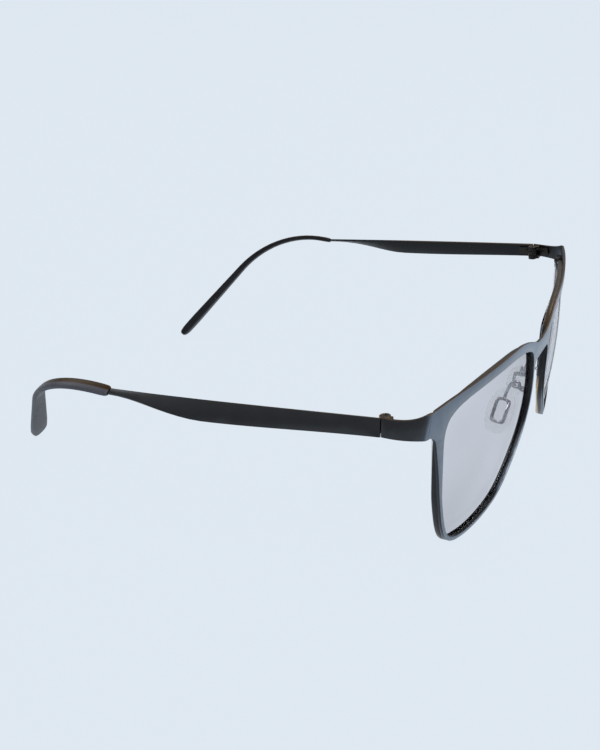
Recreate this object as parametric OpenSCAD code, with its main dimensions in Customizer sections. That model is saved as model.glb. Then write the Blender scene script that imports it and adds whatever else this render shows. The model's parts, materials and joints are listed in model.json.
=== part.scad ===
// Square metal eyeglasses: a bent sheet front with separate eyewires behind it,
// lenses, nose pads on wire arms, and two flat folding temples with moulded tips.
// X runs across the face, the front looks along -Y, the temples run back along +Y.
// The part stands on the bottoms of both rims and on both temple tips, at Z = 0.
// Pieces are modelled for the +X side in the frame of the front, and mirrored.

/* [Front sheet] */
// Width of the sheet between a rim and its corner bend
cheek_w = 4.7; // [4.2:0.1:5.4]
// Radius of the front's spherical curve
face_radius = 243; // [200:1:320]
// Drop of the middle of that curve below the corners
face_drop = 15; // [12:0.5:18]
// Thickness of the sheet
sheet_t = 0.7; // [0.5:0.05:1]
// Height of the sheet at each corner
corner_h = 5.8; // [5:0.1:7]
// Rise of the brow line above the corners
brow_rise = 0.6; // [0.2:0.1:1.2]
// Depth by which the brow hangs into the lens opening
brow_cover = 0.7; // [0.4:0.1:1.1]
// Drop of the bridge's top edge below the corners
bridge_drop = 4.8; // [3.5:0.1:6]
// Height of the bridge
bridge_h = 4.2; // [3.4:0.1:5]
// Outer radius of the corner bend
bend_radius = 1.5; // [1.2:0.1:2.2]
// Outer radius of the gentle curve behind the bend
sweep_radius = 17; // [12:0.5:20]
// Angle of that gentle curve
sweep_angle = 30; // [24:1:34]
// Distance from the corner back to the hinge seam
seam_back = 10.5; // [9.5:0.1:12]
// Drop of the sheet's top edge from the corner to the seam
seam_drop = 1.7; // [1.4:0.1:2]
// Width of the temple sheet at the seam
seam_h = 4.4; // [4:0.1:5]
// Lean of the side pieces at the seam, tops inward
side_lean = 16; // [10:1:20]

/* [Rims and lenses] */
// Width of one rim
rim_w = 55.4; // [52:0.2:58]
// Height of one rim
rim_h = 43; // [38:0.2:48]
// Gap between the two rims
rim_gap = 15; // [13:0.2:19]
// Drop of the rim's top below the top of the brow
rim_drop = 0.7; // [0.5:0.1:1]
// Wall of the eyewire, seen from the front
wire_wall = 1; // [0.9:0.05:1.4]
// Depth of the eyewire, front to back
wire_depth = 1.6; // [1.4:0.05:1.9]
// Depth of the lens groove
groove_depth = 0.45; // [0.3:0.05:0.5]
// Width of the lens groove
groove_w = 0.9; // [0.8:0.05:1]
// Radius of the lens's own curve
lens_radius = 150; // [140:5:240]
// Thickness of the lens
lens_t = 1.4; // [1.2:0.1:1.8]
// Play of the lens in its groove
lens_play = 0.05; // [0.03:0.01:0.08]
// Width of the slit that parts the eyewire at its lock
slit_w = 0.2; // [0.15:0.05:0.3]

/* [Rim locks] */
// Height of each half of the lock block
lock_h = 1.6; // [1.4:0.1:1.8]
// Depth of the lock block, front to back
lock_d = 2.2; // [2:0.1:2.6]
// Width of the lock block outside the eyewire
lock_w = 2.2; // [2:0.1:2.4]
// Drop of the lock's top below the corner
lock_drop = 2.3; // [2.2:0.1:2.8]
// Diameter of the lock screw
lock_screw_d = 0.9; // [0.8:0.05:1]
// Diameter of the lock screw's head
lock_head_d = 1.5; // [1.3:0.05:1.6]
// Height of the lock screw's head
lock_head_h = 0.5; // [0.4:0.1:0.6]

/* [Nose pads] */
// Height of one pad
pad_h = 13; // [12:0.2:14]
// Width of one pad
pad_w = 7.4; // [6.8:0.1:8.4]
// Thickness of one pad at its crown
pad_t = 2.4; // [2.2:0.1:2.8]
// Radius of the pad's crowned faces
pad_crown = 26; // [24:1:34]
// Height of the wire loop inside the pad
loop_h = 7.2; // [6.4:0.1:7.8]
// Width of the wire loop inside the pad
loop_w = 4.2; // [3.8:0.1:4.6]
// Width of the loop's wire
loop_wire = 0.8; // [0.6:0.05:1]
// Diameter of the pad arm's wire
arm_d = 0.9; // [0.8:0.05:1.1]
// Rise of the pad arm above its two ends
arm_rise = 3.4; // [2.6:0.1:3.8]
// Height of the pad's centre below the corners
pad_drop = 24.1; // [22.5:0.1:26]
// Distance of the pad's centre from the mid plane
pad_out = 10.6; // [10:0.1:12]
// Distance of the pad's centre behind the front's face
pad_back = 7.3; // [6.9:0.1:8]
// Flare of the pads, bottoms outward
pad_flare = 28; // [22:1:32]
// Splay of the pads, backs outward
pad_splay = 2; // [1:1:6]
// Rake of the pads, bottoms rearward
pad_rake = 6; // [3:1:10]

/* [Hinges] */
// Radius of the hinge knuckles
knuckle_r = 1.35; // [1.2:0.05:1.45]
// Height of the knuckle stack
knuckle_stack = 4.1; // [3.8:0.1:4.3]
// Height of the temple's knuckle
mid_knuckle_h = 1.4; // [1.2:0.1:1.6]
// Distance of the hinge axis ahead of the seam
hinge_ahead = 0.1; // [0.05:0.05:0.4]
// Drop of the knuckles below the sheet's top edge
knuckle_drop = 0.3; // [0.2:0.1:0.4]
// Gap between knuckles, and between a knuckle and the sheet it passes
knuckle_gap = 0.1; // [0.08:0.01:0.12]
// Diameter of the hinge screw's shank
hinge_screw_d = 1.4; // [1.2:0.05:1.5]
// Radial play of the hinge screw
hinge_play = 0.03; // [0.02:0.01:0.05]
// Diameter of the hinge screw's head
hinge_head_d = 2; // [1.9:0.05:2.1]
// Height of the hinge screw's head
hinge_head_h = 0.6; // [0.5:0.05:0.7]
// Width of the hinge screw's slot
slot_w = 0.35; // [0.25:0.05:0.45]
// Depth of the hinge screw's slot
slot_d = 0.25; // [0.2:0.05:0.3]
// Length of each hinge foot along the sheet
foot_l = 3.4; // [3:0.1:4.5]
// Height of each hinge foot
foot_h = 2.4; // [2.2:0.1:2.8]
// Drop of each hinge foot below the sheet's top edge
foot_drop = 1; // [0.8:0.1:1.2]
// Thickness of each hinge foot
foot_t = 0.6; // [0.5:0.05:0.7]
// Width of the seam between front and temple
seam_gap = 0.3; // [0.2:0.05:0.4]

/* [Temples] */
// Slope of the temples below the line square to the front
temple_drop = 6.8; // [5:0.1:9]
// Length from the seam to the widest point
widest_at = 46; // [40:1:52]
// Width of the sheet at the widest point
widest_h = 5.3; // [4.8:0.1:6]
// Length from the seam to the moulded tip
strip_l = 74; // [70:1:78]
// Thickness of the temple sheet
temple_t = 0.8; // [0.7:0.05:0.9]
// Width of the wire end where it enters the tip
core_h = 1.8; // [1.6:0.1:2]
// Thickness of the wire end
core_t = 0.6; // [0.5:0.05:0.7]
// Lean of the sheet at the widest point
widest_lean = 26; // [22:1:32]
// Lean of the tip, tops inward
tip_lean = 66; // [60:1:70]
// Inward curve of the sheet from the seam to the tip
temple_in = 1.6; // [0.5:0.1:2.5]

/* [Temple tips] */
// Straight length of the tip before its bend
tip_start_l = 8; // [6:0.5:10]
// Radius of the bend behind the ear
ear_radius = 28.4; // [24:0.2:34]
// Angle of the bend behind the ear
ear_angle = 62; // [54:1:66]
// Straight length of the tip after its bend
tip_end_l = 32; // [28:0.5:36]
// Turn of the bend from straight down towards the head
ear_inward = 41; // [34:1:46]
// Rise of the tip above the line of the sheet
tip_rise = 3.9; // [0:0.1:5]
// Widest width of the tip
tip_w = 5.6; // [5:0.1:6.2]
// Greatest thickness of the tip
tip_t = 2.8; // [2.5:0.1:3.2]
// Play of the wire end in the tip
core_play = 0.04; // [0.03:0.01:0.06]

/* [Hidden] */

sheet_colour = "slategray";
edge_colour = "dimgray";
wire_colour = [0.12, 0.12, 0.13];
lens_colour = [0.80, 0.82, 0.88, 0.5];
brass_colour = "darkgoldenrod";
pad_colour = [0.85, 0.78, 0.66, 0.7];
tip_colour = [0.2, 0.18, 0.17];

// Overrun of cuts and stock
over = rim_gap / 2 + rim_w + cheek_w;
// Gap between brazed or seated faces
seat_gap = sheet_t / 35;
sphere_fn = 320;
loop_steps = 4;

// Vector helpers
function rot_x(a, p) = [p.x, p.y * cos(a) - p.z * sin(a), p.y * sin(a) + p.z * cos(a)];
function rot_y(a, p) = [p.x * cos(a) + p.z * sin(a), p.y, -p.x * sin(a) + p.z * cos(a)];
function rot_z(a, p) = [p.x * cos(a) - p.y * sin(a), p.x * sin(a) + p.y * cos(a), p.z];
function unit(v) = v / norm(v);
function last(list) = list[len(list) - 1];
function ease(u) = u <= 0 ? 0 : u >= 1 ? 1 : u * u * (3 - 2 * u);
function mix(a, b, u) = a + (b - a) * u;

// Slope of a chord-length spline at point i, and a point between i and i + 1
function at(pts, i) = pts[(i + len(pts)) % len(pts)];
function slope_at(pts, i) =
    (at(pts, i + 1) - at(pts, i - 1))
    / (norm(at(pts, i + 1) - at(pts, i)) + norm(at(pts, i) - at(pts, i - 1)));
function hermite(p, q, m, n, u) =
    (2 * u * u * u - 3 * u * u + 1) * p + (u * u * u - 2 * u * u + u) * m
    + (3 * u * u - 2 * u * u * u) * q + (u * u * u - u * u) * n;
function span(pts, i, m, n, steps) =
    let (len_i = norm(at(pts, i + 1) - at(pts, i)))
    [for (k = [0 : steps - 1]) hermite(at(pts, i), at(pts, i + 1), m * len_i, n * len_i, k / steps)];
// Smooth closed loop through the given points
function smooth_loop(pts, steps) =
    [for (i = [0 : len(pts) - 1]) each span(pts, i, slope_at(pts, i), slope_at(pts, i + 1), steps)];
// Smooth open path through the given points, straight at both ends
function end_slope(pts, i) = unit(pts[min(i + 1, len(pts) - 1)] - pts[max(i - 1, 0)]);
function path_slope(pts, i) = i == 0 || i == len(pts) - 1 ? end_slope(pts, i) : slope_at(pts, i);
function smooth_path(pts, steps) =
    [for (i = [0 : len(pts) - 2]) each span(pts, i, path_slope(pts, i), path_slope(pts, i + 1), steps),
     last(pts)];
// The loop moved outward by d, for a loop that runs clockwise
function grown(loop, d) =
    [for (i = [0 : len(loop) - 1])
        let (run = unit(at(loop, i + 1) - at(loop, i - 1)))
        at(loop, i) + d * [-run[1], run[0]]];

// The front's sphere
face_z = -face_drop;
corner_x = rim_gap / 2 + rim_w + cheek_w;
corner_z = -corner_h / 2;
face_y = sqrt(pow(face_radius, 2) - pow(corner_x, 2) - pow(face_z, 2));
function face_at(x, z) = face_y - sqrt(pow(face_radius, 2) - x * x - pow(z - face_z, 2));

// Rim outline, clockwise from the temporal side, as shares of rim_w and rim_h
rim_shares = [[1, 0.76], [0.982, 0.463], [0.949, 0.302], [0.904, 0.164], [0.85, 0.076],
    [0.767, 0.025], [0.623, 0], [0.442, 0.012], [0.307, 0.064], [0.153, 0.237],
    [0.056, 0.385], [0.007, 0.544], [0, 0.717], [0.025, 0.869], [0.099, 0.933],
    [0.235, 0.979], [0.424, 0.998], [0.641, 1], [0.839, 0.982], [0.944, 0.936], [0.987, 0.864]];
rim_top = brow_rise - rim_drop;
rim_points = [for (s = rim_shares) [rim_gap / 2 + s[0] * rim_w, rim_top - (1 - s[1]) * rim_h]];
rim_loop = smooth_loop(rim_points, loop_steps);
sight_loop = grown(rim_loop, -wire_wall);
// The sheet's opening follows the eyewire, with the brow hanging lower
sight_x = rim_gap / 2 + wire_wall;
sight_w = rim_w - 2 * wire_wall;
rim_mid_z = rim_top - rim_h / 2;
function brow_sag(p) = p[1] > rim_mid_z ? brow_cover * max(0, sin(180 * (p[0] - sight_x) / sight_w)) : 0;
opening_loop = [for (p = sight_loop) [p[0], p[1] - brow_sag(p)]];

// Half outline of the sheet, from the bridge along the brow and round the rim
brow_shares = [[0, -1, 0], [0.078, -0.89, 0], [0.133, -0.63, 0], [0.185, -0.38, 0], [0.243, -0.16, 0],
    [0.31, 0, 0.1], [0.46, 0, 0.6], [0.66, 0, 1], [0.86, 0, 0.95], [1, 0, 0]];
brow_path = smooth_path(
    [for (s = brow_shares) [s[0] * corner_x, s[1] * bridge_drop + s[2] * brow_rise]], loop_steps);
cheek_from = 2;
cheek_end = rim_points[cheek_from];
cheek_shares = [[1, 0], [0.8, 0.028], [0.68, 0.085], [0.6, 0.2], [0.45, 0.42], [0.23, 0.75]];
cheek_path = smooth_path(concat(
    [for (s = cheek_shares)
        [mix(cheek_end[0], corner_x, s[0]), mix(-corner_h, cheek_end[1], s[1])]],
    [cheek_end]), loop_steps);
nasal_to = 12;
arch_z = -bridge_drop - bridge_h;
arch_end = rim_points[nasal_to];
arch_shares = [[0.97, 0.5], [0.86, 0.15], [0.66, 0.02], [0, 0]];
arch_path = smooth_path(concat([arch_end],
    [for (s = arch_shares) [s[0] * arch_end[0], mix(arch_z, arch_end[1], s[1])]]), loop_steps);
rim_run = [for (i = [cheek_from * loop_steps + 1 : nasal_to * loop_steps - 1]) rim_loop[i]];
half_outline = concat(brow_path, [[over * 2, 0], [over * 2, -corner_h]],
    cheek_path, rim_run, arch_path);

// The corner frame: on the sheet's front, -Y square to it and Z along the bend
corner_lat = asin((corner_z - face_z) / face_radius);
corner_lon = asin(corner_x / face_radius / cos(corner_lat));
module at_corner() {
    translate([0, face_y, face_z])
        rotate([0, 0, corner_lon])
            rotate([-corner_lat, 0, 0])
                rotate([0, -side_lean, 0])
                    translate([0, -face_radius, 0])
                        children();
}
function turn_corner(p) = rot_z(corner_lon, rot_x(-corner_lat, rot_y(-side_lean, p)));
function from_corner(p) =
    turn_corner([p.x, p.y - face_radius, p.z]) + [0, face_y, face_z];

// The bend turns the sheet back, then the gentle curve brings it parallel
bend_angle = 90 - corner_lon - sweep_angle;
function out_at(a) = [sin(a), -cos(a), 0];
side_angle = bend_angle + sweep_angle;
bend_centre = [0, bend_radius, 0];
sweep_centre = bend_centre + (bend_radius - sweep_radius) * out_at(bend_angle);
side_start = sweep_centre + sweep_radius * out_at(side_angle);

// The outer face of the side piece is a plane through side_face_at
side_face_at = from_corner(side_start);
side_normal = turn_corner(out_at(side_angle));
function side_x(y, z) = side_face_at.x
    - (side_normal.y * (y - side_face_at.y) + side_normal.z * (z - side_face_at.z)) / side_normal.x;

// The hinge frame: origin on the hinge axis, level with the sheet's top edge,
// Y along the temple and Z up the axis
seam_z = -seam_drop;
inner_face = knuckle_r + knuckle_gap;
outer_face = inner_face + max(sheet_t, temple_t) / side_normal.x;
hinge_x = side_x(seam_back, seam_z) - outer_face;
hinge_at = [hinge_x, seam_back, seam_z] - rot_x(-temple_drop, [0, hinge_ahead, 0]);
module at_hinge() {
    translate(hinge_at)
        rotate([-temple_drop, 0, 0])
            children();
}
function from_hinge(p) = hinge_at + rot_x(-temple_drop, p);

// Temple sheet: width, lean and place of its top edge at a length from the seam
function strip_h(s) = s < widest_at
    ? mix(seam_h, widest_h, ease(s / widest_at))
    : mix(widest_h, core_h, ease((s - widest_at) / (strip_l - widest_at)));
function strip_lean(s) = s < widest_at
    ? mix(side_lean, widest_lean, pow(s / widest_at, 2))
    : mix(widest_lean, tip_lean, ease((s - widest_at) / (strip_l - widest_at)));
function strip_t(s) = mix(temple_t, core_t, ease((s - widest_at) / (strip_l - widest_at)));
function down_dir(lean) = [sin(lean), 0, -cos(lean)];
function in_dir(lean) = [-cos(lean), 0, -sin(lean)];
function strip_centre(s) =
    let (lean = strip_lean(s))
    [outer_face - temple_in * pow(s / strip_l, 3), hinge_ahead + s, 0]
    + strip_h(s) / 2 * down_dir(lean) + strip_t(s) / 2 * in_dir(lean);

// Centre line of the tip: straight, one bend, straight
tip_from = strip_centre(strip_l);
tip_ahead = [0, cos(tip_rise), sin(tip_rise)];
tip_side = [-sin(ear_inward), cos(ear_inward) * sin(tip_rise), -cos(ear_inward) * cos(tip_rise)];
bend_arc = ear_radius * ear_angle * PI / 180;
tip_l = tip_start_l + bend_arc + tip_end_l;
function ear_turn(s) = ear_angle * min(1, max(0, (s - tip_start_l) / bend_arc));
function tip_run(a) = cos(a) * tip_ahead + sin(a) * tip_side;
function tip_centre(s) =
    let (a = ear_turn(s))
    tip_from + min(s, tip_start_l) * tip_ahead
    + ear_radius * (sin(a) * tip_ahead + (1 - cos(a)) * tip_side)
    + max(0, s - tip_start_l - bend_arc) * tip_run(a);
// A direction across the tip, carried round the bend with it
function carried(v, s) =
    let (a = ear_turn(s), side = v * tip_side)
    v + side * (tip_run(a + 90) - tip_side) + (v - side * tip_side) * tip_ahead * (tip_run(a) - tip_ahead);

// Ring of a swept piece: a soft rectangle w by t round a centre
function soft_ring(centre, across, through, w, t, count, soft) =
    [for (k = [0 : count - 1])
        let (c = cos(360 * k / count), s = sin(360 * k / count))
        centre + across * w / 2 * sign(c) * pow(abs(c), soft)
        + through * t / 2 * sign(s) * pow(abs(s), soft)];
function hard_ring(centre, across, through, w, t) =
    [for (k = [[1, 1], [-1, 1], [-1, -1], [1, -1]])
        centre + across * w / 2 * k[0] + through * t / 2 * k[1]];
function sweep_faces(rings, n) = concat(
    [[for (k = [0 : n - 1]) k]],
    [for (i = [0 : rings - 2], k = [0 : n - 1], f = [0, 1])
        let (a = i * n + k, b = i * n + (k + 1) % n)
        f == 0 ? [a, a + n, b] : [b, a + n, b + n]],
    [[for (k = [n - 1 : -1 : 0]) (rings - 1) * n + k]]);
module swept(rings) {
    polyhedron(points = [for (r = rings) each r],
        faces = sweep_faces(len(rings), len(rings[0])), convexity = 10);
}

// Tip widths and thicknesses along its length, as shares of tip_l, tip_w and tip_t
tip_shares = [[0, 0.41, 0.4], [0.004, 0.52, 0.5], [0.012, 0.58, 0.55], [0.03, 0.61, 0.57],
    [0.1, 0.63, 0.55], [0.2, 0.63, 0.55], [0.3, 0.64, 0.57], [0.4, 0.66, 0.62], [0.5, 0.71, 0.69],
    [0.6, 0.78, 0.78], [0.7, 0.86, 0.87], [0.8, 0.94, 0.95], [0.88, 1, 1], [0.94, 0.99, 0.99],
    [0.965, 0.95, 0.95], [0.982, 0.85, 0.86], [0.993, 0.66, 0.7], [1, 0.34, 0.42]];
tip_soft_share = 0.62;
tip_sides = 16;
function share_at(u, i, k) = u <= tip_shares[k + 1][0] || k == len(tip_shares) - 2
    ? mix(tip_shares[k][i], tip_shares[k + 1][i],
        (u - tip_shares[k][0]) / (tip_shares[k + 1][0] - tip_shares[k][0]))
    : share_at(u, i, k + 1);
tip_steps = 28;
tip_stations = concat([for (k = [0 : 3]) tip_shares[k][0]],
    [for (k = [1 : tip_steps]) mix(tip_shares[3][0], tip_shares[13][0], k / tip_steps)],
    [for (k = [14 : len(tip_shares) - 1]) tip_shares[k][0]]);
tip_across = down_dir(tip_lean);
tip_through = in_dir(tip_lean);
tip_rings = [for (u = tip_stations)
    soft_ring(tip_centre(u * tip_l), carried(tip_across, u * tip_l), carried(tip_through, u * tip_l),
        tip_w * share_at(u, 1, 0), tip_t * share_at(u, 2, 0), tip_sides, tip_soft_share)];

// The wire end runs inside the tip to a share of its length
core_share = 0.86;
core_steps = 20;
core_stations = [for (k = [0 : core_steps]) core_share * tip_l * k / core_steps];
function core_rings(stations, grow) = [for (s = stations)
    hard_ring(tip_centre(s), carried(tip_across, s), carried(tip_through, s),
        core_h + 2 * grow, core_t + 2 * grow)];

// Standing frame: tilted until rims and tips share one level, then centred
tip_cloud = [for (r = tip_rings) each [for (p = r) from_hinge(p)]];
rim_depth = sheet_t + wire_depth;
rim_cloud = [for (p = rim_loop) each [[p[0], face_at(p[0], p[1]), p[1]],
    [p[0], face_at(p[0], p[1]) + rim_depth, p[1]]]];
function height(p, a) = rot_x(a, p).z;
function lowest(cloud, a, i = 1, best = 0) = i == len(cloud) ? cloud[best]
    : lowest(cloud, a, i + 1, height(cloud[i], a) < height(cloud[best], a) ? i : best);
function level(a, tries) = tries == 0 ? a
    : let (r = lowest(rim_cloud, a), t = lowest(tip_cloud, a))
    level(-atan2(t.z - r.z, t.y - r.y), tries - 1);
stand_tilt = level(0, 4);
stand_lift = -height(lowest(rim_cloud, stand_tilt), stand_tilt);
bridge_cloud = [for (k = [0 : 4]) let (z = -bridge_drop - bridge_h * k / 4) [0, face_at(0, z), z]];
front_most = min([for (p = concat(bridge_cloud, rim_cloud)) rot_x(stand_tilt, p).y]);
rear_most = max([for (p = tip_cloud) rot_x(stand_tilt, p).y]);
stand_shift = -(front_most + rear_most) / 2;

module stand() {
    translate([0, stand_shift, stand_lift])
        rotate([stand_tilt, 0, 0])
            children();
}
module on_left() {
    stand() children();
}
module on_right() {
    stand() mirror([1, 0, 0]) children();
}

// An outline of the front view, as a bar along Y
module bar(loop) {
    translate([0, over, 0])
        rotate([90, 0, 0])
            linear_extrude(2 * over)
                polygon(loop);
}

// The space between two depths behind the front's face
module layer(front, back) {
    translate([0, face_y, face_z])
        difference() {
            sphere(r = face_radius - front, $fn = sphere_fn);
            sphere(r = face_radius - back, $fn = sphere_fn);
        }
}

// Side piece: one outline round the bend and the gentle curve, extruded up the bend.
// It starts inside the front's shell, just thin enough to clear the shell's curve
lap = sheet_t / 2;
side_inset = (pow(corner_h, 2) / 5 + sheet_t / 4 * sheet_t) / face_radius + seat_gap / 2;
side_depth = sheet_t - seat_gap / 2;
function flat(p) = [p.x, p.y];
function curve_at(centre, r, from, to, n) =
    [for (k = [0 : n]) flat(centre + r * out_at(mix(from, to, k / n)))];
function side_edge(depth) = concat(
    [[-lap, depth]],
    curve_at(bend_centre, bend_radius - depth, 0, bend_angle, 12),
    curve_at(sweep_centre, sweep_radius - depth, bend_angle + sweep_angle / 10, side_angle, 9),
    [flat(side_start - depth * out_at(side_angle) + seam_back * out_at(side_angle + 90))]);
function reversed(list) = [for (i = [len(list) - 1 : -1 : 0]) list[i]];
module side_band(outside, inside) {
    at_corner()
        translate([0, 0, -over / 2])
            linear_extrude(over)
                polygon(concat(outside, reversed(side_edge(inside))));
}
module side_piece() {
    side_band(side_edge(side_inset), side_depth);
}

// Side view of a side piece: its top edge dips behind the bend, and the seam is square
side_from = bend_radius / 2;
dip_shares = [[0, 0], [0.1, 0.32], [0.24, 0.62], [0.44, 0.84], [0.7, 0.96], [1, 1]];
module side_view() {
    seam = [seam_back, seam_z] - seam_gap / 2 * [cos(temple_drop), -sin(temple_drop)];
    across = [sin(temple_drop), cos(temple_drop)];
    dip = smooth_path([for (s = dip_shares)
        [mix(side_from, seam[0], s[0]), mix(0, seam[1], s[1])]], loop_steps);
    translate([-2 * over, 0, 0])
        rotate([90, 0, 90])
            linear_extrude(4 * over)
                polygon(concat([[-over, over], [side_from, over]], dip,
                    [seam - seam_h * across, [side_from, -corner_h], [side_from, -over],
                    [-over, -over]]));
}

full_outline = concat(half_outline,
    [for (i = [len(half_outline) - 2 : -1 : 1]) [-half_outline[i][0], half_outline[i][1]]]);
module front_plate() {
    color(sheet_colour)
        difference() {
            intersection() {
                union() {
                    difference() {
                        layer(0, sheet_t);
                        for (side = [0, 1])
                            mirror([side, 0, 0])
                                at_corner()
                                    translate([0, -over, -over])
                                        cube(2 * over);
                        translate([-2 * face_radius, 0, -2 * face_radius])
                            cube(4 * face_radius);
                    }
                    side_piece();
                    mirror([1, 0, 0])
                        side_piece();
                }
                bar(full_outline);
                side_view();
            }
            bar(opening_loop);
            mirror([1, 0, 0])
                bar(opening_loop);
        }
}

// Eyewire: a grooved wire swept round the rim outline, split at the lock
lock_at = -lock_drop - lock_h - slit_w / 2;
wire_front = sheet_t + 2 * seat_gap;
wire_back = sheet_t + wire_depth;
wire_round = wire_wall / 2;
groove_front = sheet_t + wire_depth / 2 - groove_w / 2;
groove_back = groove_front + groove_w;
// Corners of the wire's section: inset from the rim outline, and depth
wire_section = [[0, wire_front], [0, wire_back - wire_round],
    [wire_round * (1 - cos(45)), wire_back - wire_round * (1 - sin(45))],
    [wire_round, wire_back], [wire_wall, wire_back], [wire_wall, groove_back],
    [wire_wall - groove_depth, groove_back], [wire_wall - groove_depth, groove_front],
    [wire_wall, groove_front], [wire_wall, wire_front]];

// Point on the front view, at a depth behind the front's face
function behind_face(p, depth) =
    let (r = face_radius - depth)
    [p[0], face_y - sqrt(r * r - p[0] * p[0] - pow(p[1] - face_z, 2)), p[1]];

module wire_loop() {
    insets = [for (c = wire_section) grown(rim_loop, -c[0])];
    n = len(wire_section);
    rings = len(rim_loop);
    polyhedron(
        points = [for (i = [0 : rings - 1], k = [0 : n - 1]) behind_face(insets[k][i], wire_section[k][1])],
        faces = [for (i = [0 : rings - 1], k = [0 : n - 1], f = [0, 1])
            let (j = (i + 1) % rings, m = (k + 1) % n)
            f == 0 ? [i * n + k, i * n + m, j * n + k] : [i * n + m, j * n + m, j * n + k]],
        convexity = 10);
}

module eyewire() {
    color(wire_colour)
        difference() {
            wire_loop();
            translate([rim_gap / 2 + rim_w / 2, -over, lock_at - slit_w / 2])
                cube([over, 2 * over, slit_w]);
        }
}

// Lens: a body inside the eyewire, and a tongue that sits in its groove.
// The body has its own, stronger curve, set to meet the groove at lens_seat from its middle
lens_seat = rim_h * 0.56;
lens_mid = [rim_gap / 2 + rim_w / 2, rim_mid_z];
module lens_shell() {
    front = mix(groove_front, groove_back, 0.08);
    sag = lens_radius - sqrt(pow(lens_radius, 2) - pow(lens_seat, 2));
    face_sag = face_radius - sqrt(pow(face_radius, 2) - pow(lens_seat, 2));
    middle = behind_face(lens_mid, front + face_sag - sag);
    inward = unit([0, face_y, face_z] - middle);
    translate(middle + lens_radius * inward)
        difference() {
            sphere(r = lens_radius, $fn = sphere_fn);
            sphere(r = lens_radius - lens_t, $fn = sphere_fn);
        }
}
module lens() {
    color(lens_colour) {
        intersection() {
            lens_shell();
            bar(grown(sight_loop, -lens_play));
        }
        intersection() {
            layer(groove_front + lens_play, groove_back - lens_play);
            difference() {
                bar(grown(sight_loop, groove_depth - lens_play));
                bar(grown(sight_loop, -groove_depth));
            }
        }
    }
}

// Rim lock: two block halves outside the eyewire and one screw through both
lock_out = max([for (p = rim_loop) if (p[1] > lock_at - 1.5 * lock_h && p[1] < lock_at + lock_h) p[0]]);
lock_y = face_at(lock_out, lock_at) + wire_front;
lock_axis_x = lock_out + lock_w * 0.58;
lock_axis = [lock_axis_x, sheet_back(lock_axis_x) + lock_head_d / 2 + 2 * seat_gap];
lock_end = lock_out + lock_w;
lock_play = lens_play / 2;
// Plan of a block from a given x, its front edge along the back of the sheet
function sheet_back(x) = seat_gap + max(behind_face([x, lock_at - lock_h], wire_front).y,
    behind_face([x, lock_at + lock_h], wire_front).y);
module lock_block(bottom, from) {
    color(brass_colour)
        difference() {
            translate([0, 0, bottom])
                linear_extrude(lock_h)
                    polygon([[from, sheet_back(from)], [lock_end, sheet_back(lock_end)],
                        [lock_end, lock_y + lock_d], [from, lock_y + lock_d]]);
            translate([lock_axis.x, lock_axis.y, bottom - over])
                cylinder(h = 2 * over, d = lock_screw_d + 2 * lock_play, $fn = 48);
            bar(grown(rim_loop, seat_gap));
        }
}

module upper_lock_block() {
    lock_block(lock_at + slit_w / 2, lock_out - lock_w * 0.8);
}

module lower_lock_block() {
    lock_block(lock_at - slit_w / 2 - lock_h, lock_out - wire_wall / 2);
}

module lock_screw() {
    head_top = lock_at - slit_w / 2 - lock_h - seat_gap;
    color("silver")
        translate([lock_axis.x, lock_axis.y, head_top])
            difference() {
                union() {
                    cylinder(h = 2 * lock_h + slit_w, d = lock_screw_d, $fn = 32);
                    translate([0, 0, -lock_head_h])
                        cylinder(h = lock_head_h, d = lock_head_d, $fn = 32);
                }
                translate([-over, -slot_w / 2, -lock_head_h - over])
                    cube([2 * over, slot_w, over + slot_d]);
            }
}

// The pad frame: origin at the pad's centre, X across the pad, Y through it
pad_at = [pad_out, face_at(pad_out, -pad_drop) + pad_back, -pad_drop];
module at_pad() {
    translate(pad_at)
        rotate([pad_rake, -pad_flare, pad_splay])
            rotate([0, 0, 90])
                children();
}
function turn_to_pad(v) = rot_z(pad_splay, rot_y(-pad_flare, rot_x(pad_rake, rot_z(90, v))));
function from_pad(p) = pad_at + turn_to_pad(p);

// A rounded rectangle, from four arcs
function arc(cx, cy, r, from, to, n) = [for (k = [0 : n]) let (a = mix(from, to, k / n))
    [cx + r * cos(a), cy + r * sin(a)]];
function round_box(w, h, r) = let (x = w / 2 - r, y = h / 2 - r) concat(
    arc(x, y, r, 0, 90, 5), arc(-x, y, r, 90, 180, 5),
    arc(-x, -y, r, 180, 270, 5), arc(x, -y, r, 270, 360, 5));

loop_corner = loop_wire * 1.5;
module pad_loop(grow) {
    rotate([90, 0, 0])
        translate([0, 0, -loop_wire / 2 - grow])
            linear_extrude(loop_wire + 2 * grow)
                difference() {
                    polygon(round_box(loop_w + 2 * grow, loop_h + 2 * grow, loop_corner + grow));
                    polygon(round_box(loop_w - 2 * loop_wire - 2 * grow,
                        loop_h - 2 * loop_wire - 2 * grow, loop_corner - loop_wire / 2 - grow));
                }
}

// Arm: a round wire from the eyewire back, over and down into the loop
arm_foot_share = 0.58;
arm_foot_z = rim_top - (1 - arm_foot_share) * rim_h;
arm_foot_x = min([for (p = rim_loop) if (abs(p[1] - arm_foot_z) < rim_h / 12) p[0]]) + wire_wall / 2;
arm_foot = [arm_foot_x, face_at(arm_foot_x, arm_foot_z) + wire_back + 2 * seat_gap, arm_foot_z];
loop_top = from_pad([0, 0, loop_h / 2]);
arm_points = [arm_foot,
    arm_foot + arm_d * [0.05, 1.2, 0.4],
    mix(arm_foot, loop_top, 0.35) + [0, 0, arm_rise],
    mix(arm_foot, loop_top, 0.7) + [0, 0, arm_rise * 1.1],
    from_pad([0, 0, loop_h / 2 + arm_d * 1.6]),
    from_pad([0, 0, loop_h / 2 - loop_wire * 0.4])];
arm_path = smooth_path(arm_points, 5);
function path_run(path, i) = unit(path[min(i + 1, len(path) - 1)] - path[max(i - 1, 0)]);
arm_side = unit(turn_to_pad([0, 1, 0]));
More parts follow.
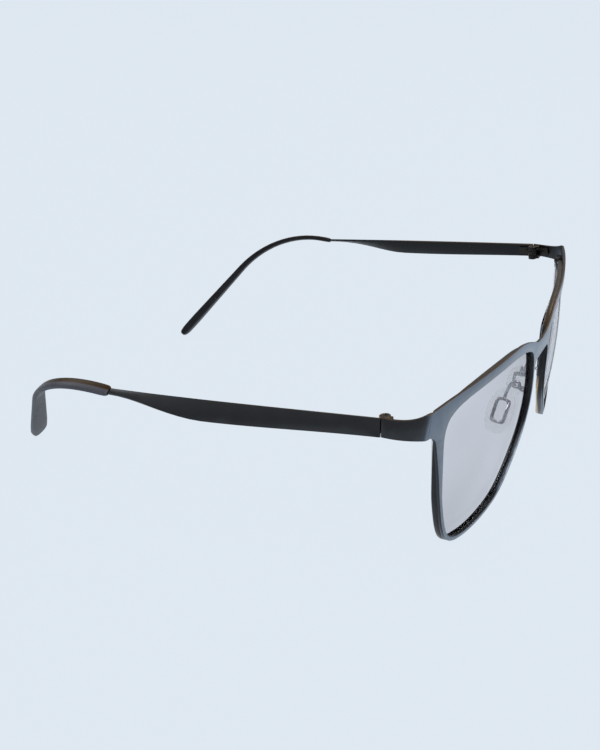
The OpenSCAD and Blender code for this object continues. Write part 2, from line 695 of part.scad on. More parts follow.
function arm_rings(grow) = [for (i = [0 : len(arm_path) - 1])
    let (run = i == 0 ? [0, 1, 0] : path_run(arm_path, i),
        across = unit(cross(arm_side, run)), through = unit(cross(run, across)))
    soft_ring(arm_path[i] + (i == len(arm_path) - 1 ? grow : 0) * run, across, through,
        arm_d + 2 * grow, arm_d + 2 * grow, 12, 1)];

module pad_arm() {
    color("silver") {
        at_pad() pad_loop(0);
        swept(arm_rings(0));
    }
}

// Pad: an oval slab with crowned faces, moulded round the loop
pad_oval = [for (k = [0 : 47])
    let (c = cos(7.5 * k), s = sin(7.5 * k))
    [pad_w / 2 * sign(c) * pow(abs(c), 0.86) * (1 - 0.12 * s), pad_h / 2 * sign(s) * pow(abs(s), 0.9)]];
module nose_pad() {
    color(pad_colour)
        difference() {
            at_pad()
                intersection() {
                    rotate([90, 0, 0])
                        translate([0, 0, -pad_t])
                            linear_extrude(2 * pad_t)
                                polygon(pad_oval);
                    translate([0, pad_crown - pad_t / 2, 0])
                        sphere(r = pad_crown, $fn = sphere_fn);
                    translate([0, pad_t / 2 - pad_crown, 0])
                        sphere(r = pad_crown, $fn = sphere_fn);
                }
            at_pad() pad_loop(seat_gap);
            swept(arm_rings(seat_gap));
        }
}

// Hinge: two knuckles on the front, one on the temple, one screw through all three
outer_knuckle_h = (knuckle_stack - mid_knuckle_h) / 2 - knuckle_gap;
knuckle_top = -knuckle_drop;
mid_top = knuckle_top - outer_knuckle_h - knuckle_gap;
low_top = mid_top - mid_knuckle_h - knuckle_gap;
knuckle_foot = low_top - outer_knuckle_h;
bore_d = hinge_screw_d + 2 * hinge_play;

module knuckle(top, h) {
    translate([0, 0, top - h])
        cylinder(h = h, r = knuckle_r, $fn = 64);
}

// Web that carries a knuckle, and foot on the sheet; dir is -1 ahead, 1 behind
foot_start = knuckle_r + knuckle_gap;
web_l = foot_start + foot_t;
module knuckle_web(top, h, dir) {
    translate([0, dir < 0 ? -web_l : 0, top - h])
        cube([over, web_l, h]);
}

// The space over a foot, which lies flat on the sheet
module foot_stock(dir) {
    translate([0, dir < 0 ? -foot_start - foot_l : foot_start, -foot_drop - foot_h])
        cube([over, foot_l, foot_h]);
}

// The space outside a plane that leans like the sheet, at a distance from the axis
module beyond(from) {
    rotate([0, -side_lean, 0])
        translate([from, -over, -over])
            cube(2 * over);
}
temple_face = outer_face * cos(side_lean) - temple_t;

module front_hinge() {
    color(brass_colour)
        difference() {
            union() {
                at_hinge() {
                    knuckle(knuckle_top, outer_knuckle_h);
                    knuckle(low_top, outer_knuckle_h);
                    knuckle_web(knuckle_top, outer_knuckle_h, -1);
                    knuckle_web(low_top, outer_knuckle_h, -1);
                }
                intersection() {
                    at_hinge() foot_stock(-1);
                    side_band(side_outside, sheet_t + foot_t);
                }
            }
            side_band(side_outside, sheet_t + seat_gap);
            at_hinge() {
                translate([0, 0, -over])
                    cylinder(h = 2 * over, d = bore_d, $fn = 48);
                translate([0, 0, knuckle_top - hinge_head_h])
                    cylinder(h = over, d = hinge_head_d + 2 * hinge_play, $fn = 48);
            }
        }
}
// Corners of the space outside the side piece
side_outside = [[-lap, -over], [over, -over],
    flat(side_start + over * (out_at(side_angle) + out_at(side_angle + 90)))];

module temple_hinge() {
    color(brass_colour)
        at_hinge()
            difference() {
                union() {
                    knuckle(mid_top, mid_knuckle_h);
                    knuckle_web(mid_top, mid_knuckle_h, 1);
                    intersection() {
                        foot_stock(1);
                        beyond(temple_face - foot_t);
                    }
                }
                translate([0, 0, -over])
                    cylinder(h = 2 * over, d = bore_d, $fn = 48);
                beyond(temple_face - seat_gap);
            }
}

module hinge_screw() {
    color("silver")
        at_hinge()
            difference() {
                union() {
                    translate([0, 0, knuckle_foot])
                        cylinder(h = knuckle_stack, d = hinge_screw_d, $fn = 48);
                    translate([0, 0, knuckle_top - hinge_head_h + seat_gap])
                        cylinder(h = hinge_head_h, d = hinge_head_d, $fn = 48);
                }
                translate([-over, -slot_w / 2, knuckle_top - slot_d])
                    cube([2 * over, slot_w, over]);
            }
}

// Temple: a flat strip that twists as it runs back and ends as a wire in the tip
strip_steps = 24;
module temple() {
    strip_rings = [for (k = [0 : strip_steps])
        let (s = mix(seam_gap / 2, strip_l, k / strip_steps))
        hard_ring(strip_centre(s), down_dir(strip_lean(s)), in_dir(strip_lean(s)),
            strip_h(s), strip_t(s))];
    inside = core_rings(core_stations, 0);
    color(edge_colour)
        at_hinge()
            swept(concat(strip_rings, [for (k = [1 : core_steps]) inside[k]]));
}

module temple_tip() {
    color(tip_colour)
        at_hinge()
            difference() {
                swept(tip_rings);
                swept(core_rings(concat([-core_h], core_stations, [last(core_stations) + core_play]),
                    core_play));
            }
}

stand() front_plate();
on_right() eyewire();  // right_eyewire
on_left() eyewire();  // left_eyewire
on_right() lens();  // right_lens
on_left() lens();  // left_lens
on_right() upper_lock_block();  // right_upper_lock_block
on_left() upper_lock_block();  // left_upper_lock_block
on_right() lower_lock_block();  // right_lower_lock_block
on_left() lower_lock_block();  // left_lower_lock_block
on_right() lock_screw();  // right_lock_screw
on_left() lock_screw();  // left_lock_screw
on_right() pad_arm();  // right_pad_arm
on_left() pad_arm();  // left_pad_arm
on_right() nose_pad();  // right_nose_pad
on_left() nose_pad();  // left_nose_pad
on_right() front_hinge();  // right_front_hinge
on_left() front_hinge();  // left_front_hinge
on_right() hinge_screw();  // right_hinge_screw
on_left() hinge_screw();  // left_hinge_screw
on_right() temple_hinge();  // right_temple_hinge
on_left() temple_hinge();  // left_temple_hinge
on_right() temple();  // right_temple
on_left() temple();  // left_temple
on_right() temple_tip();  // right_temple_tip
on_left() temple_tip();  // left_temple_tip
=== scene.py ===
"""Looks for the square sheet-metal eyeglasses, in metres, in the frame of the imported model."""

import json
import math

import bmesh
import bpy
from mathutils import Matrix, Vector

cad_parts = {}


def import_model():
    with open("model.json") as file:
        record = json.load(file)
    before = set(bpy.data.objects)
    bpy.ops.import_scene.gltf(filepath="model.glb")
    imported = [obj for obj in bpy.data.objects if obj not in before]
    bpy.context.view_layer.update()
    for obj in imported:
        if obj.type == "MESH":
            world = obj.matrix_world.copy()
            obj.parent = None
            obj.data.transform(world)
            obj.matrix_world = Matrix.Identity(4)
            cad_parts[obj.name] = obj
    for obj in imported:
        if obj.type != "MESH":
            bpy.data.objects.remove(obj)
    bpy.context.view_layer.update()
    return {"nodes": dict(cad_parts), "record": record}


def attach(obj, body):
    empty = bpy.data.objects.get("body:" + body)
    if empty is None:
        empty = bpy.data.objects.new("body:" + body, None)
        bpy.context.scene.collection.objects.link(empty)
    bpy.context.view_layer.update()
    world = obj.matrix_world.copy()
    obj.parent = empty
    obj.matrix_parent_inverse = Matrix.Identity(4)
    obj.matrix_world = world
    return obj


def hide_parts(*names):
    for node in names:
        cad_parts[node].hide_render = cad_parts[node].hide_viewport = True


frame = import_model()
scene = bpy.context.scene
nodes = frame["nodes"]
MM = 0.001

# The camera was fitted in the frame of the glasses' front. The model stands tilted from it.
STAND_TILT = math.radians(1.63389)
STAND_MOVE = Vector((0.0, -61.3232, 43.2659))
CAMERA_AT = Vector((-270.361, -61.983, 107.495))
CAMERA_AZIMUTH = math.radians(-66.311)
CAMERA_ELEVATION = math.radians(24.607)
CAMERA_ROLL = math.radians(1.103)
FOCAL_PX = 1068.549
MIDDLE_PX = Vector((319.289, 368.123))
FRAME_PX = Vector((600.0, 750.0))

# Where the left tip starts, and how far the temples fall from the front's square
TIP_START = Vector((69.61, 22.86, 34.57))
TEMPLE_DROP = math.radians(6.8)

# Linear colour of the backdrop
BACKDROP = (0.737, 0.807, 0.881, 1.0)

# Where a temple's core and a tip begin to move, in millimetres along the bend
CORE_FROM = 0.3
TIP_FROM = -2.0
BEND_STEPS = 16

# Cleaning of the copied solids, and their softened edges
WELD = 0.002 * MM
FLAT_WITHIN = math.radians(0.4)
BEVEL_OVER = math.radians(28.0)
BEVEL_SEGMENTS = 2

# Remeshing of the pads
PAD_VOXEL = 0.3 * MM
PAD_CALM = 0.5
PAD_CALM_STEPS = 6

# The painted warm reflection on the temples fades out over this length, in millimetres
WARM_FADE = 12.0

# The rim's rear edge: its bow in 1/m, from this far off the middle, and its lean with height
RIM_BOW_FROM = 15.4 * MM
RIM_BOW = 3.7
RIM_LEAN = 0.1285

# The floor is a disc just under the standing points, almost without shadow where it is seen
FLOOR_RADIUS = 6.0
FLOOR_SIDES = 64
FLOOR_DROP = 0.2 * MM
FLOOR_FLAT_SHARE = 0.985
LAMP_AIM = (0.0, 0.0, 0.03)

# Sockets of a colour Mix node
MIX_FACTOR, MIX_A, MIX_B, MIX_RESULT = 0, 6, 7, 2


def shade(colour, share):
    """The same colour, lighter or darker."""
    return tuple(c * share for c in colour[:3]) + (1.0,)


def srgb(r, g, b):
    """Linear colour of an 8-bit sRGB one."""
    def linear(c):
        c /= 255.0
        return c / 12.92 if c <= 0.04045 else ((c + 0.055) / 1.055) ** 2.4
    return (linear(r), linear(g), linear(b), 1.0)


# ---- Bend of the tips ----

class EarBend:
    """Centre line of the left tip in millimetres: straight, round the ear, and straight again."""

    def __init__(self, start, radius, turn, end, inward, rise):
        self.start, self.radius, self.turn = start, radius, math.radians(turn)
        self.arc = self.radius * self.turn
        self.length = self.start + self.arc + end
        i, r = math.radians(inward), math.radians(rise)
        stand = Matrix.Rotation(STAND_TILT - TEMPLE_DROP, 3, "X")
        self.ahead = stand @ Vector((0.0, math.cos(r), math.sin(r)))
        self.side = stand @ Vector((
            -math.sin(i), math.cos(i) * math.sin(r), -math.cos(i) * math.cos(r)))
        self.across = self.ahead.cross(self.side)

    def frame(self, s):
        """Place, direction and inner normal of the centre line at the length s."""
        a = self.turn * min(1.0, max(0.0, (s - self.start) / self.arc))
        along = math.cos(a) * self.ahead + math.sin(a) * self.side
        within = -math.sin(a) * self.ahead + math.cos(a) * self.side
        beyond = max(0.0, s - self.start - self.arc)
        at = TIP_START + min(s, self.start) * self.ahead + beyond * along
        at = at + self.radius * (math.sin(a) * self.ahead + (1.0 - math.cos(a)) * self.side)
        return at, along, within


SOLID_BEND = EarBend(8.0, 28.4, 62.0, 32.0, 41.0, 3.9)
SHOWN_BEND = EarBend(3.0, 31.0, 62.5, 32.6, 36.8, 8.5)


def rebent(point, first):
    """A point of a tip or its core, carried from the solid's bend to the shown one.

    No point moves by more than 1.6 mm, and those before the length first stay.
    """
    side = math.copysign(1.0, point.x)
    p = Vector((abs(point.x), point.y, point.z)) / MM
    s = (p - TIP_START).dot(SOLID_BEND.ahead)
    for _ in range(BEND_STEPS):
        at, along, within = SOLID_BEND.frame(s)
        s += (p - at).dot(along)
    if s < first:
        return point
    at, along, within = SOLID_BEND.frame(s)
    inner, over = (p - at).dot(within), (p - at).dot(SOLID_BEND.across)
    at, along, within = SHOWN_BEND.frame(s * SHOWN_BEND.length / SOLID_BEND.length)
    q = (at + inner * within + over * SHOWN_BEND.across) * MM
    return Vector((side * q.x, q.y, q.z))


# ---- Materials ----

class Shader:
    """A node material with a Principled shader and short ways to add to it."""

    NOISE_ROUGHNESS = 0.6

    def __init__(self, name, **sockets):
        self.material = bpy.data.materials.new(name)
        self.material.use_nodes = True
        self.tree = self.material.node_tree
        self.shader = self.tree.nodes["Principled BSDF"]
        self.coords = self.tree.nodes.new("ShaderNodeTexCoord")
        for key, value in sockets.items():
            self.shader.inputs[key.replace("_", " ")].default_value = value

    def node(self, kind, **settings):
        new = self.tree.nodes.new(kind)
        for key, value in settings.items():
            setattr(new, key, value)
        return new

    def link(self, source, target):
        self.tree.links.new(source, target)

    def put(self, target, value):
        if isinstance(value, (int, float, tuple)):
            target.default_value = value
        else:
            self.link(value, target)

    def noise(self, scale, stretch=(1.0, 1.0, 1.0), detail=4.0):
        """Noise over the piece, with its grain count per metre."""
        place = self.node("ShaderNodeMapping")
        place.inputs["Scale"].default_value = stretch
        self.link(self.coords.outputs["Object"], place.inputs["Vector"])
        new = self.node("ShaderNodeTexNoise")
        new.inputs["Scale"].default_value = scale
        new.inputs["Detail"].default_value = detail
        new.inputs["Roughness"].default_value = self.NOISE_ROUGHNESS
        self.link(place.outputs["Vector"], new.inputs["Vector"])
        return new.outputs["Fac"]

    def ramp(self, value, low, high, out_low=0.0, out_high=1.0):
        new = self.node("ShaderNodeMapRange")
        new.clamp = True
        ends = {"From Min": low, "From Max": high, "To Min": out_low, "To Max": out_high}
        for key, number in ends.items():
            new.inputs[key].default_value = number
        self.link(value, new.inputs["Value"])
        return new.outputs["Result"]

    def math(self, operation, a, b=0.0):
        new = self.node("ShaderNodeMath", operation=operation)
        self.put(new.inputs[0], a)
        self.put(new.inputs[1], b)
        return new.outputs[0]

    def times(self, a, b):
        return self.math("MULTIPLY", a, b)

    def mix(self, factor, a, b):
        new = self.node("ShaderNodeMix", data_type="RGBA")
        self.put(new.inputs[MIX_FACTOR], factor)
        self.put(new.inputs[MIX_A], a)
        self.put(new.inputs[MIX_B], b)
        return new.outputs[MIX_RESULT]

    def split(self, vector):
        new = self.node("ShaderNodeSeparateXYZ")
        self.link(vector, new.inputs[0])
        return new.outputs

    def bump(self, height, strength, distance):
        new = self.node("ShaderNodeBump")
        new.inputs["Strength"].default_value = strength
        new.inputs["Distance"].default_value = distance
        self.link(height, new.inputs["Height"])
        self.link(new.outputs["Normal"], self.shader.inputs["Normal"])

    def outward(self, place, normal):
        """How much the surface faces away from the nose, from -1 to 1."""
        return self.times(self.math("SIGN", place[0]), normal[0])

    def grained(self, count, smooth, rough, strength, depth):
        """Fine grain in the roughness, with a shallow bump of the same grain."""
        grain = self.noise(count)
        self.set("Roughness", self.ramp(grain, 0.3, 0.7, smooth, rough))
        self.bump(grain, strength, depth)

    def set(self, key, value):
        self.put(self.shader.inputs[key], value)


def satin_sheet(name, face, side, inner, cut, warm_until=None):
    """Coated gunmetal sheet, with painted light in the colours of its faces.

    Painted shade darkens the sides, the faces towards the nose and the cut edges, a painted
    reflection lightens the front towards the nose, and a painted warm reflection lies on the upper
    cut edges.
    The painted warm reflection fades out before warm_until, in millimetres along Y, if it is
    given.
    """
    m = Shader(name, Metallic=0.9, IOR=1.5, Coat_Weight=0.2, Coat_Roughness=0.22)
    normal = m.split(m.coords.outputs["Normal"])
    place = m.split(m.coords.outputs["Object"])
    # Painted shade: faces turned sideways take the side colour, and faces towards the nose and the
    # cut edges the dark inner one.
    sideways = m.ramp(m.math("ABSOLUTE", normal[0]), 0.5, 0.9)
    level = m.math("ADD", m.math("ABSOLUTE", normal[1]), m.math("ABSOLUTE", normal[0]))
    cut_face = m.ramp(level, 0.5, 0.75, 1.0, 0.0)
    inwards = m.ramp(m.outward(place, normal), -0.5, -0.2, 1.0, 0.0)
    # Painted warm reflection on upward faces high on the sheet.
    up = m.ramp(normal[2], 0.6, 0.8)
    up = m.times(up, m.ramp(place[2], 31.0 * MM, 35.0 * MM))
    if warm_until is not None:
        fade = m.ramp(place[1], (warm_until - WARM_FADE) * MM, warm_until * MM, 1.0, 0.0)
        up = m.times(up, fade)
    cloud = m.ramp(m.noise(240.0, detail=3.0), 0.35, 0.65)
    # Painted reflection: the front is lighter towards the nose.
    middle = m.ramp(m.math("ABSOLUTE", place[0]), 14.0 * MM, 40.0 * MM, 1.0, 0.0)
    front = m.mix(middle, m.mix(cloud, face, shade(face, 1.1)), shade(face, 1.45))
    flank = m.mix(inwards, m.mix(cloud, side, shade(side, 1.1)), inner)
    # A cloud that breaks up the painted warm reflection.
    painted_sheen_cloud = m.ramp(m.noise(700.0, detail=4.0), 0.3, 0.7, 0.6, 1.0)
    plain = m.mix(cut_face, m.mix(sideways, front, flank), inner)
    m.set("Base Color", m.mix(m.times(up, painted_sheen_cloud), plain, cut))
    brush = m.noise(900.0, stretch=(2.0, 1.0, 6.0), detail=2.0)
    grain = m.noise(9000.0, detail=2.0)
    mixed = m.math("ADD", m.times(brush, 0.4), m.times(grain, 0.6))
    m.set("Roughness", m.ramp(mixed, 0.3, 0.7, 0.32, 0.42))
    m.bump(mixed, 0.12, 0.02 * MM)
    return m.material


def rim_metal():
    """Blackened eyewire, with a painted warm reflection along the top of the brow, and on its rear
    lip below the nose a painted tan reflection standing for the lens's thick nasal edge.
    """
    m = Shader("blackened_rim_wire", Metallic=0.85, Coat_Weight=0.2, Coat_Roughness=0.2)
    normal = m.split(m.coords.outputs["Normal"])
    place = m.split(m.coords.outputs["Object"])
    # Painted warm reflection on upward faces along the top of the brow.
    high = m.ramp(place[2], 34.5 * MM, 37.5 * MM)
    top = m.times(m.ramp(normal[2], 0.35, 0.8), high)
    # Painted reflection: the tan light of the lens's thick nasal edge, painted on the rim's rear
    # lip below the nose, on faces towards the nose.
    across = m.math("ABSOLUTE", place[0])
    bow = m.math("MAXIMUM", m.math("SUBTRACT", across, RIM_BOW_FROM), 0.0)
    behind = m.math("SUBTRACT", place[1], m.times(m.times(bow, bow), RIM_BOW))
    behind = m.math("ADD", behind, m.times(place[2], RIM_LEAN))
    lip = m.ramp(behind, -66.3 * MM, -66.1 * MM)
    low = m.times(m.ramp(place[2], 19.0 * MM, 23.0 * MM, 1.0, 0.0),
                  m.ramp(across, 26.0 * MM, 32.0 * MM, 1.0, 0.0))
    towards = m.ramp(m.outward(place, normal), -0.5, -0.3, 1.0, 0.0)
    painted_lens_edge = m.times(m.times(lip, low), towards)
    # A random cloud varies the black and breaks up the painted warm reflection.
    tone_and_sheen_cloud = m.ramp(m.noise(420.0, detail=3.0), 0.35, 0.7)
    warm = m.mix(tone_and_sheen_cloud, srgb(58, 47, 31), srgb(80, 64, 40))
    black = m.mix(tone_and_sheen_cloud, srgb(33, 34, 36), srgb(42, 43, 45))
    m.set("Base Color", m.mix(painted_lens_edge, m.mix(top, black, warm), srgb(196, 164, 126)))
    m.grained(8000.0, 0.3, 0.42, 0.08, 0.02 * MM)
    return m.material


def lens_glass():
    """Clear coated lens, faintly warm grey, its colour lighter and darker in a soft saddle over
    height and width, as in the photo.
    """
    m = Shader("coated_clear_lens", IOR=1.01, Transmission_Weight=1.0, Roughness=0.01,
               Coat_Weight=0.16, Coat_Roughness=0.08, Coat_IOR=1.35)
    place = m.split(m.coords.outputs["Object"])
    # Lighter and darker in a saddle over height and width, with a soft smear.
    rise = m.times(m.ramp(place[2], 0.0, 42.0 * MM, -1.0, 1.0), 0.5)
    swing = m.ramp(m.math("ABSOLUTE", place[0]), 8.0 * MM, 60.0 * MM, 1.0, 0.0)
    bend = m.times(rise, m.math("SUBTRACT", swing, 0.5))
    smear = m.times(m.math("SUBTRACT", m.noise(45.0, detail=1.0), 0.5), 0.35)
    depth = m.ramp(m.math("ADD", bend, smear), -0.3, 0.3)
    m.set("Base Color", m.mix(depth, (0.79, 0.78, 0.81, 1.0), (0.58, 0.565, 0.58, 1.0)))
    return m.material


def plain_metal(name, dark, light, rough):
    """Small turned or drawn metal pieces, clouded and finely grained."""
    m = Shader(name, Metallic=1.0)
    cloud = m.noise(1000.0)
    m.set("Base Color", m.mix(m.ramp(cloud, 0.35, 0.65), dark, light))
    m.grained(4000.0, rough - 0.06, rough + 0.08, 0.15, 0.02 * MM)
    return m.material


def hinge_metal():
    """Blackened hinge leaves, with a painted warm reflection on the outer side of the dome above
    the sheet.
    """
    m = Shader("black_hinge_painted_sheen", Metallic=0.95)
    place = m.split(m.coords.outputs["Object"])
    cloud = m.ramp(m.noise(900.0), 0.35, 0.65)
    # Painted warm reflection on the outer side of the dome above the sheet; the rest is black.
    painted_bronze_sheen = m.mix(cloud, srgb(92, 72, 42), srgb(128, 100, 58))
    black = m.mix(cloud, srgb(40, 38, 37), srgb(52, 48, 44))
    normal = m.split(m.coords.outputs["Normal"])
    outer = m.ramp(m.outward(place, normal), -0.2, 0.1)
    dome = m.times(m.ramp(place[2], 41.0 * MM, 41.4 * MM), outer)
    m.set("Base Color", m.mix(dome, black, painted_bronze_sheen))
    m.grained(3000.0, 0.3, 0.42, 0.1, 0.02 * MM)
    return m.material


def silicone():
    """Clear soft pad, a little cloudy."""
    m = Shader("clear_silicone", IOR=1.03, Transmission_Weight=0.97,
               Coat_Weight=0.35, Coat_Roughness=0.12)
    cloud = m.ramp(m.noise(500.0), 0.35, 0.7)
    m.set("Base Color", m.mix(cloud, (0.96, 0.96, 0.96, 1.0), (0.92, 0.915, 0.90, 1.0)))
    m.grained(3000.0, 0.05, 0.12, 0.02, 0.03 * MM)
    return m.material


def tip_plastic():
    """Moulded tip: near black, its outer faces lighter by a painted sheen, and a painted warm
    reflection on the upper side of its straight start.
    """
    m = Shader("moulded_tip", IOR=1.4, Specular_IOR_Level=0.12)
    place = m.split(m.coords.outputs["Object"])
    off = (m.math("ABSOLUTE", place[0]), place[1], place[2])
    x, y, z = (m.times(m.math("SUBTRACT", off[i], TIP_START[i] * MM), SHOWN_BEND.across[i])
               for i in range(3))
    # Painted warm reflection: brown on the upper side of the straight start, only on faces turned
    # up and out.
    upper = m.ramp(m.math("ADD", x, m.math("ADD", y, z)), -0.15 * MM, 0.2 * MM)
    normal = m.split(m.coords.outputs["Normal"])
    away = m.outward(place, normal)
    facing_up = m.math("ADD", m.times(away, 0.66), m.times(normal[2], 0.75))
    outer = m.ramp(facing_up, 0.0, 0.3)
    start = m.ramp(place[1], 46.0 * MM, 53.0 * MM, 1.0, 0.0)
    top = m.times(m.times(upper, outer), start)
    swirl = m.ramp(m.noise(180.0, stretch=(1.0, 0.4, 1.0), detail=5.0), 0.4, 0.65)
    warm = m.mix(swirl, srgb(40, 26, 4), srgb(54, 36, 6))
    # Painted sheen: faces turned away from the nose are lighter than those towards it.
    facing = m.ramp(away, -0.3, 0.3)
    inside = m.mix(swirl, srgb(24, 24, 26), srgb(30, 30, 33))
    outside = m.mix(swirl, srgb(62, 62, 67), srgb(74, 74, 80))
    body = m.mix(facing, inside, outside)
    m.set("Base Color", m.mix(top, body, warm))
    m.grained(2500.0, 0.3, 0.42, 0.08, 0.03 * MM)
    return m.material


# Colour of the painted warm reflection on the upper cut edges of the sheet and the temples.
PAINTED_WARM_SHEEN = srgb(72, 52, 28)
# Painted light: each sheet's side and inner colours are lit and shaded copies of one metal, the
# inner one in the deepest painted shade.
sheet = satin_sheet(
    "satin_gunmetal_sheet", srgb(105, 114, 126), srgb(50, 51, 53), srgb(33, 34, 36), PAINTED_WARM_SHEEN)
strip = satin_sheet(
    "satin_gunmetal_temple", srgb(44, 45, 47), srgb(52, 53, 55), srgb(27, 28, 30), PAINTED_WARM_SHEEN,
    warm_until=0.0)
painted_sheen_hinge = hinge_metal()
steel = plain_metal("screw_steel", srgb(44, 42, 40), srgb(74, 70, 64), 0.32)
bright = plain_metal("drawn_pad_wire", srgb(172, 175, 181), srgb(202, 204, 208), 0.24)
LOOKS = {
    "front_plate": sheet, "eyewire": rim_metal(), "lens": lens_glass(),
    "upper_lock_block": painted_sheen_hinge, "lower_lock_block": painted_sheen_hinge, "lock_screw": steel,
    "pad_arm": bright, "nose_pad": silicone(), "front_hinge": painted_sheen_hinge, "hinge_screw": steel,
    "temple_hinge": painted_sheen_hinge, "temple": strip, "temple_tip": tip_plastic(),
}


def kind_of(name):
    """A node's name without its side."""
    return name if name in LOOKS else name.split("_", 1)[1]


for name, obj in nodes.items():
    obj.data.materials.clear()
    obj.data.materials.append(LOOKS[kind_of(name)])


# ---- Rounded copies of the solids ----

RECORD = frame["record"]
BODY = {node: body for body, members in RECORD["behaviour"]["bodies"].items() for node in members}


def stand_in(piece, name):
    """Put a new piece on its node's body, in that node's place, and hide the node."""
    scene.collection.objects.link(piece)
    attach(piece, BODY[name])
    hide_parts(name)


def dressed(name, bevel):
    """A copy of a solid with welded vertices, softened edges and smooth shading.

    A temple's core and a tip also get the shown bend. The bevel is in millimetres.
    """
    copy = nodes[name].data.copy()
    work = bmesh.new()
    work.from_mesh(copy)
    if kind_of(name) in ("temple", "temple_tip"):
        first = CORE_FROM if kind_of(name) == "temple" else TIP_FROM
        for vert in work.verts:
            vert.co = rebent(vert.co, first)
    bmesh.ops.remove_doubles(work, verts=work.verts, dist=WELD)
    bmesh.ops.dissolve_degenerate(work, edges=work.edges, dist=WELD)
    bmesh.ops.dissolve_limit(
        work, angle_limit=FLAT_WITHIN, verts=work.verts, edges=work.edges)
    bmesh.ops.recalc_face_normals(work, faces=work.faces)
    for face in work.faces:
        face.smooth = True
    work.to_mesh(copy)
    work.free()
    copy.name = name + "_dressed"
    piece = bpy.data.objects.new(name + "_dressed", copy)
    if bevel:
        soft = piece.modifiers.new("soft_edges", "BEVEL")
        soft.width = bevel * MM
        soft.segments = BEVEL_SEGMENTS
        soft.limit_method = "ANGLE"
        soft.angle_limit = BEVEL_OVER
        soft.harden_normals = True
    stand_in(piece, name)


def moulded(name):
    """A soft pad: the closed skin round its solid, remeshed and smoothed, without its cavity."""
    work = bmesh.new()
    work.from_mesh(nodes[name].data)
    hull = bmesh.ops.convex_hull(work, input=work.verts, use_existing_faces=False)
    left_over = hull["geom_interior"] + hull["geom_unused"]
    inside = [item for item in left_over if isinstance(item, bmesh.types.BMVert)]
    bmesh.ops.delete(work, geom=inside, context="VERTS")
    mesh = bpy.data.meshes.new(name + "_moulded")
    work.to_mesh(mesh)
    work.free()
    draft = bpy.data.objects.new(name + "_draft", mesh)
    scene.collection.objects.link(draft)
    grid = draft.modifiers.new("grid", "REMESH")
    grid.mode = "VOXEL"
    grid.voxel_size = PAD_VOXEL
    calm = draft.modifiers.new("calm", "SMOOTH")
    calm.factor = PAD_CALM
    calm.iterations = PAD_CALM_STEPS
    finer = draft.modifiers.new("finer", "SUBSURF")
    finer.levels = 1
    bpy.context.view_layer.update()
    view = draft.evaluated_get(bpy.context.evaluated_depsgraph_get())
    skin = bpy.data.meshes.new_from_object(view)
    bpy.data.objects.remove(draft)
    for face in skin.polygons:
        face.use_smooth = True
    skin.materials.clear()
    skin.materials.append(LOOKS[kind_of(name)])
    stand_in(bpy.data.objects.new(name + "_moulded", skin), name)


BEVELS = {
    "front_plate": 0.09, "eyewire": 0.1, "upper_lock_block": 0.1, "lower_lock_block": 0.1,
    "lock_screw": 0.06, "front_hinge": 0.08, "temple_hinge": 0.08, "hinge_screw": 0.06,
    "temple": 0.1, "temple_tip": 0.12, "pad_arm": 0.0, "lens": 0.0,
}
for name in nodes:
    if kind_of(name) == "nose_pad":
        moulded(name)
    else:
        dressed(name, BEVELS[kind_of(name)])


# ---- Stage, light and camera ----

def stage():
    """The floor: flat backdrop colour to the camera, in mirrors and through glass, else matt."""
    work = bmesh.new()
    bmesh.ops.create_circle(work, cap_ends=True, radius=FLOOR_RADIUS, segments=FLOOR_SIDES)
    mesh = bpy.data.meshes.new("studio_floor")
    work.to_mesh(mesh)
    work.free()
    floor = bpy.data.objects.new("studio_floor", mesh)
    scene.collection.objects.link(floor)
    floor.location.z = -FLOOR_DROP
    material = bpy.data.materials.new("studio_floor")
    material.use_nodes = True
    tree = material.node_tree
    tree.nodes.clear()
    out = tree.nodes.new("ShaderNodeOutputMaterial")
    lit = tree.nodes.new("ShaderNodeBsdfDiffuse")
    lit.inputs["Color"].default_value = BACKDROP
    flat = tree.nodes.new("ShaderNodeEmission")
    flat.inputs["Color"].default_value = BACKDROP
    flat.inputs["Strength"].default_value = 1.0
    path = tree.nodes.new("ShaderNodeLightPath")
    seen = tree.nodes.new("ShaderNodeMath")
    seen.operation = "MAXIMUM"
    tree.links.new(path.outputs["Is Camera Ray"], seen.inputs[0])
    more = tree.nodes.new("ShaderNodeMath")
    more.operation = "MAXIMUM"
    tree.links.new(path.outputs["Is Glossy Ray"], more.inputs[0])
    tree.links.new(path.outputs["Is Transmission Ray"], more.inputs[1])
    tree.links.new(more.outputs[0], seen.inputs[1])
    share = tree.nodes.new("ShaderNodeMath")
    share.operation = "MULTIPLY"
    share.inputs[1].default_value = FLOOR_FLAT_SHARE
    tree.links.new(seen.outputs[0], share.inputs[0])
    both = tree.nodes.new("ShaderNodeMixShader")
    tree.links.new(share.outputs[0], both.inputs[0])
    tree.links.new(lit.outputs[0], both.inputs[1])
    tree.links.new(flat.outputs[0], both.inputs[2])
    tree.links.new(both.outputs[0], out.inputs["Surface"])
    mesh.materials.append(material)


def lamp(name, at, size, power):
    """An area light that shines at the middle of the glasses."""
    light = bpy.data.lights.new(name, "AREA")
    light.shape = "RECTANGLE"
    light.size, light.size_y = size
    light.energy = power
    obj = bpy.data.objects.new(name, light)
    obj.location = at
    obj.rotation_euler = (Vector(LAMP_AIM) - Vector(at)).to_track_quat("-Z", "Y").to_euler()
    scene.collection.objects.link(obj)


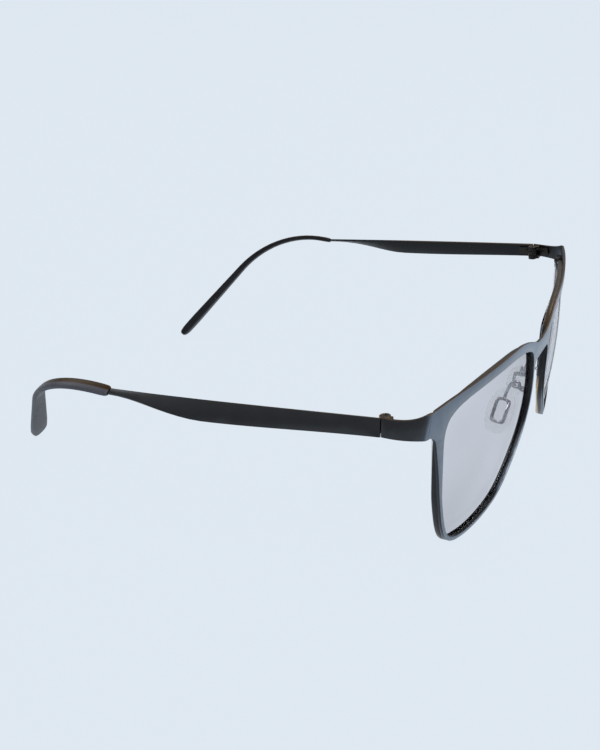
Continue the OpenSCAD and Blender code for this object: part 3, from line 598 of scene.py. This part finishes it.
def world():
    """Grey below to pale blue above for the light, and the backdrop's colour for the camera."""
    new = bpy.data.worlds.new("studio")
    scene.world = new
    new.use_nodes = True
    tree = new.node_tree
    back = tree.nodes["Background"]
    coords = tree.nodes.new("ShaderNodeTexCoord")
    split = tree.nodes.new("ShaderNodeSeparateXYZ")
    tree.links.new(coords.outputs["Generated"], split.inputs[0])
    rise = tree.nodes.new("ShaderNodeMapRange")
    rise.inputs["From Min"].default_value = 0.0
    rise.inputs["From Max"].default_value = 0.8
    rise.inputs["To Min"].default_value = 0.0
    rise.inputs["To Max"].default_value = 1.0
    tree.links.new(split.outputs[2], rise.inputs["Value"])
    tint = tree.nodes.new("ShaderNodeMix")
    tint.data_type = "RGBA"
    tint.inputs[MIX_A].default_value = (0.20, 0.21, 0.23, 1.0)
    tint.inputs[MIX_B].default_value = (0.80, 0.83, 0.87, 1.0)
    tree.links.new(rise.outputs["Result"], tint.inputs[MIX_FACTOR])
    tree.links.new(tint.outputs[MIX_RESULT], back.inputs["Color"])
    back.inputs["Strength"].default_value = 0.8
    seen = tree.nodes.new("ShaderNodeBackground")
    seen.inputs["Color"].default_value = BACKDROP
    path = tree.nodes.new("ShaderNodeLightPath")
    both = tree.nodes.new("ShaderNodeMixShader")
    tree.links.new(path.outputs["Is Camera Ray"], both.inputs[0])
    tree.links.new(back.outputs[0], both.inputs[1])
    tree.links.new(seen.outputs[0], both.inputs[2])
    tree.links.new(both.outputs[0], tree.nodes["World Output"].inputs["Surface"])


stage()
world()
lamp("key", (-0.35, -0.55, 0.75), (0.7, 0.5), 7.0)
lamp("fill", (0.6, -0.3, 0.6), (0.6, 0.6), 3.0)
lamp("back", (0.25, 0.75, 0.6), (0.8, 0.4), 2.0)


def stood(v):
    """A direction of the front's frame, in the frame of the standing model."""
    return Matrix.Rotation(STAND_TILT, 3, "X") @ v


def add_camera():
    """The photo's camera, with its middle set off by a lens shift."""
    a, e = CAMERA_AZIMUTH, CAMERA_ELEVATION
    back = Vector((math.sin(a) * math.cos(e), -math.cos(a) * math.cos(e), math.sin(e)))
    right = (-back).cross(Vector((0.0, 0.0, 1.0))).normalized()
    up = right.cross(-back)
    c, s = math.cos(CAMERA_ROLL), math.sin(CAMERA_ROLL)
    across, along = c * right + s * up, -s * right + c * up
    turn = Matrix([stood(across), stood(along), stood(back)]).transposed()
    data = bpy.data.cameras.new("camera")
    data.sensor_width = 36.0
    data.lens = FOCAL_PX * data.sensor_width / FRAME_PX.y
    data.shift_x = (FRAME_PX.x / 2 - MIDDLE_PX.x) / FRAME_PX.y
    data.shift_y = (MIDDLE_PX.y - FRAME_PX.y / 2) / FRAME_PX.y
    data.clip_start = 0.005
    camera = bpy.data.objects.new("camera", data)
    place = (stood(CAMERA_AT) + STAND_MOVE) * MM
    camera.matrix_world = Matrix.Translation(place) @ turn.to_4x4()
    scene.collection.objects.link(camera)
    scene.camera = camera


add_camera()
scene.view_settings.view_transform = "Standard"
